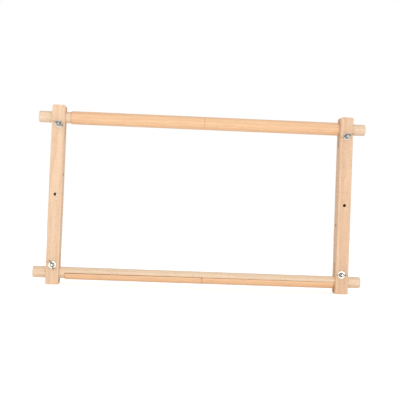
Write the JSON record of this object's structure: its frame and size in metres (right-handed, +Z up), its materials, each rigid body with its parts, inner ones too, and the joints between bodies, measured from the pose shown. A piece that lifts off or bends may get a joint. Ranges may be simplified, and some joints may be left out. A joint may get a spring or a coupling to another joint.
{
  "type": "embroidery frame",
  "caption": "Wooden rotating embroidery frame: side bars carry turning rollers with clip-on half-round strips that hold the cloth, locked by wing-nut clamps.",
  "frame": {"origin": "middle of the whole object's footprint, on the surface that the side bars' lower ends stand on", "axes": "+X to the right along the rollers, +Y from the front to the back, +Z up along the side bars"},
  "size_m": [0.5534, 0.0428, 0.3],
  "materials": {
    "bar_wood": "sanded beech, unvarnished",
    "core_wood": "sanded pale beech dowel, unvarnished",
    "strip_wood": "sanded warm beech, unvarnished",
    "pin_wood": "beech dowel pin",
    "zinc_steel": "bright zinc plate"
  },
  "bodies": {
    "left_side": {"left_side_bar": "bar_wood", "top_left_clamp_bolt": "zinc_steel", "bottom_left_clamp_bolt": "zinc_steel"},
    "right_side": {"right_side_bar": "bar_wood", "top_right_clamp_bolt": "zinc_steel", "bottom_right_clamp_bolt": "zinc_steel"},
    "top_roller": {"top_roller_core": "core_wood", "top_left_locating_pin": "pin_wood", "top_right_locating_pin": "pin_wood"},
    "bottom_roller": {"bottom_roller_core": "core_wood", "bottom_left_locating_pin": "pin_wood", "bottom_right_locating_pin": "pin_wood"},
    "top_strip": {"top_clamp_strip": "strip_wood"},
    "bottom_strip": {"bottom_clamp_strip": "strip_wood"},
    "top_left_washer": {"top_left_washer": "zinc_steel"},
    "top_right_washer": {"top_right_washer": "zinc_steel"},
    "bottom_left_washer": {"bottom_left_washer": "zinc_steel"},
    "bottom_right_washer": {"bottom_right_washer": "zinc_steel"},
    "top_left_nut": {"top_left_wing_nut": "zinc_steel"},
    "top_right_nut": {"top_right_wing_nut": "zinc_steel"},
    "bottom_left_nut": {"bottom_left_wing_nut": "zinc_steel"},
    "bottom_right_nut": {"bottom_right_wing_nut": "zinc_steel"}
  },
  "joints": [
    {"name": "right_bar_slide", "type": "slide", "parent": "left_side", "child": "right_side", "axis": [1, 0, 0], "range_m": [-0.001, 0.0224]},
    {"name": "top_roller_turn", "type": "hinge", "parent": "left_side", "child": "top_roller", "pos_m": [0, 0.00465, 0.2805], "axis": [1, 0, 0], "continuous": true},
    {"name": "bottom_roller_turn", "type": "hinge", "parent": "left_side", "child": "bottom_roller", "pos_m": [0, 0.00465, 0.0195], "axis": [1, 0, 0], "continuous": true},
    {"name": "top_strip_lift", "type": "slide", "parent": "top_roller", "child": "top_strip", "axis": [0, -1, 0], "range_m": [0, 0.0082]},
    {"name": "bottom_strip_lift", "type": "slide", "parent": "bottom_roller", "child": "bottom_strip", "axis": [0, 0, -1], "range_m": [0, 0.0082]},
    {"name": "top_left_washer_travel", "type": "slide", "parent": "left_side", "child": "top_left_washer", "axis": [0, -1, 0], "range_m": [0, 0.00158]},
    {"name": "top_right_washer_travel", "type": "slide", "parent": "right_side", "child": "top_right_washer", "axis": [0, -1, 0], "range_m": [0, 0.00158]},
    {"name": "bottom_left_washer_travel", "type": "slide", "parent": "left_side", "child": "bottom_left_washer", "axis": [0, -1, 0], "range_m": [0, 0.00158]},
    {"name": "bottom_right_washer_travel", "type": "slide", "parent": "right_side", "child": "bottom_right_washer", "axis": [0, -1, 0], "range_m": [0, 0.00158]},
    {"name": "top_left_nut_turn", "type": "hinge", "parent": "top_left_washer", "child": "top_left_nut", "pos_m": [-0.2421, 0.00465, 0.2674], "axis": [0, -1, 0], "range_deg": [0, 811]},
    {"name": "top_right_nut_turn", "type": "hinge", "parent": "top_right_washer", "child": "top_right_nut", "pos_m": [0.2435, 0.00465, 0.2674], "axis": [0, -1, 0], "range_deg": [0, 811]},
    {"name": "bottom_left_nut_turn", "type": "hinge", "parent": "bottom_left_washer", "child": "bottom_left_nut", "pos_m": [-0.2435, 0.00465, 0.0326], "axis": [0, -1, 0], "range_deg": [0, 811]},
    {"name": "bottom_right_nut_turn", "type": "hinge", "parent": "bottom_right_washer", "child": "bottom_right_nut", "pos_m": [0.2421, 0.00465, 0.0326], "axis": [0, -1, 0], "range_deg": [0, 811]}
  ],
  "couplings": [
    {"joint": "top_left_nut_turn", "follows": "top_left_washer_travel", "rad_per_m": 8976},
    {"joint": "top_right_nut_turn", "follows": "top_right_washer_travel", "rad_per_m": 8976},
    {"joint": "bottom_left_nut_turn", "follows": "bottom_left_washer_travel", "rad_per_m": 8976},
    {"joint": "bottom_right_nut_turn", "follows": "bottom_right_washer_travel", "rad_per_m": 8976}
  ]
}
